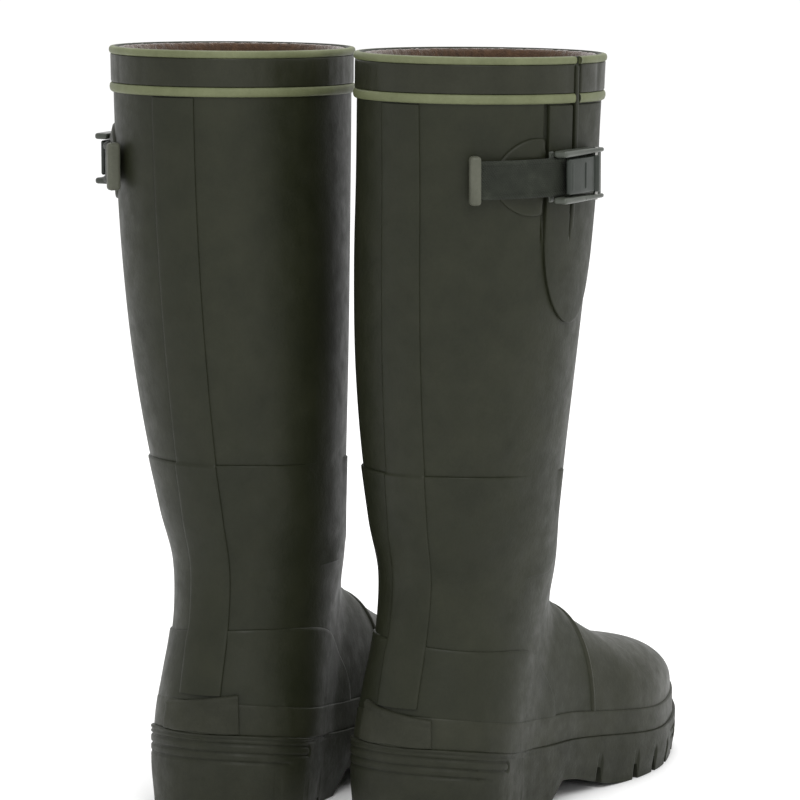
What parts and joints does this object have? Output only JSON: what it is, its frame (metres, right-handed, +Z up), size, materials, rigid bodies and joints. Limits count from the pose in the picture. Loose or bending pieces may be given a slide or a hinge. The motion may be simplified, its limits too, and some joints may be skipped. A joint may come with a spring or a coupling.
{
  "type": "rubber hunting boots",
  "caption": "Pair of tall rubber hunting boots with a warm lining, cleated sole, kick plate and a strap that adjusts the calf gusset",
  "frame": {"origin": "middle of the pair's box, at floor level", "axes": "+X to the wearer's right, +Y towards the toes, +Z up"},
  "size_m": [0.2806, 0.3248, 0.415],
  "materials": {
    "shaft_rubber": "satin",
    "overlay_rubber": "satin",
    "band_rubber": "satin",
    "piping_rubber": "satin",
    "gusset_rubber": "satin",
    "fold_rubber": "matte",
    "patch_rubber": "satin",
    "foxing_rubber": "satin",
    "kick_rubber": "matte",
    "sole_rubber": "matte",
    "lining_cloth": "matte",
    "stiffener": "matte",
    "board": "matte",
    "footbed_foam": "matte",
    "midsole_foam": "matte",
    "shank_steel": "satin",
    "strap_webbing": "matte",
    "stop_plastic": "satin",
    "buckle_metal": "satin",
    "pin_steel": "satin"
  },
  "bodies": {
    "left_boot": {"left_leg_panel": "shaft_rubber", "left_vamp": "shaft_rubber", "left_lining": "lining_cloth", "left_gusset_fold": "fold_rubber", "left_toe_stiffener": "stiffener", "left_insole_board": "board", "left_footbed": "footbed_foam", "left_outsole": "sole_rubber", "left_midsole": "midsole_foam", "left_shank": "shank_steel", "left_foxing_strip": "foxing_rubber", "left_heel_kick_plate": "kick_rubber", "left_ankle_overlay": "overlay_rubber", "left_back_strip": "overlay_rubber", "left_heel_counter": "overlay_rubber", "left_top_band": "band_rubber", "left_upper_piping": "piping_rubber", "left_lower_piping": "piping_rubber", "left_gusset_tongue": "gusset_rubber", "left_slit_trim": "gusset_rubber", "left_anchor_patch": "patch_rubber", "left_buckle_frame": "buckle_metal", "left_buckle_pin": "pin_steel", "left_buckle_tab": "patch_rubber"},
    "left_strap_set": {"left_strap": "strap_webbing", "left_strap_end_stop": "stop_plastic"},
    "left_lever_set": {"left_buckle_lever": "buckle_metal"},
    "right_boot": {"right_leg_panel": "shaft_rubber", "right_vamp": "shaft_rubber", "right_lining": "lining_cloth", "right_gusset_fold": "fold_rubber", "right_toe_stiffener": "stiffener", "right_insole_board": "board", "right_footbed": "footbed_foam", "right_outsole": "sole_rubber", "right_midsole": "midsole_foam", "right_shank": "shank_steel", "right_foxing_strip": "foxing_rubber", "right_heel_kick_plate": "kick_rubber", "right_ankle_overlay": "overlay_rubber", "right_back_strip": "overlay_rubber", "right_heel_counter": "overlay_rubber", "right_top_band": "band_rubber", "right_upper_piping": "piping_rubber", "right_lower_piping": "piping_rubber", "right_gusset_tongue": "gusset_rubber", "right_slit_trim": "gusset_rubber", "right_anchor_patch": "patch_rubber", "right_buckle_frame": "buckle_metal", "right_buckle_pin": "pin_steel", "right_buckle_tab": "patch_rubber"},
    "right_strap_set": {"right_strap": "strap_webbing", "right_strap_end_stop": "stop_plastic"},
    "right_lever_set": {"right_buckle_lever": "buckle_metal"}
  },
  "joints": [
    {"name": "right_boot_set_aside", "type": "slide", "parent": "left_boot", "child": "right_boot", "axis": [1, 0, 0], "range_m": [0, 0.25]},
    {"name": "left_lever_hinge", "type": "hinge", "parent": "left_boot", "child": "left_lever_set", "pos_m": [-0.1381, -0.08471, 0.3514], "axis": [0, 0, -1], "range_deg": [0, 75]},
    {"name": "left_strap_adjust", "type": "hinge", "parent": "left_boot", "child": "left_strap_set", "pos_m": [-0.04886, -0.08679, 0.3514], "axis": [0, 0, -1], "range_deg": [-6, 5]},
    {"name": "right_lever_hinge", "type": "hinge", "parent": "right_boot", "child": "right_lever_set", "pos_m": [0.1381, -0.06152, 0.3514], "axis": [0, 0, 1], "range_deg": [0, 75]},
    {"name": "right_strap_adjust", "type": "hinge", "parent": "right_boot", "child": "right_strap_set", "pos_m": [0.04886, -0.06359, 0.3514], "axis": [0, 0, 1], "range_deg": [-6, 5]}
  ]
}
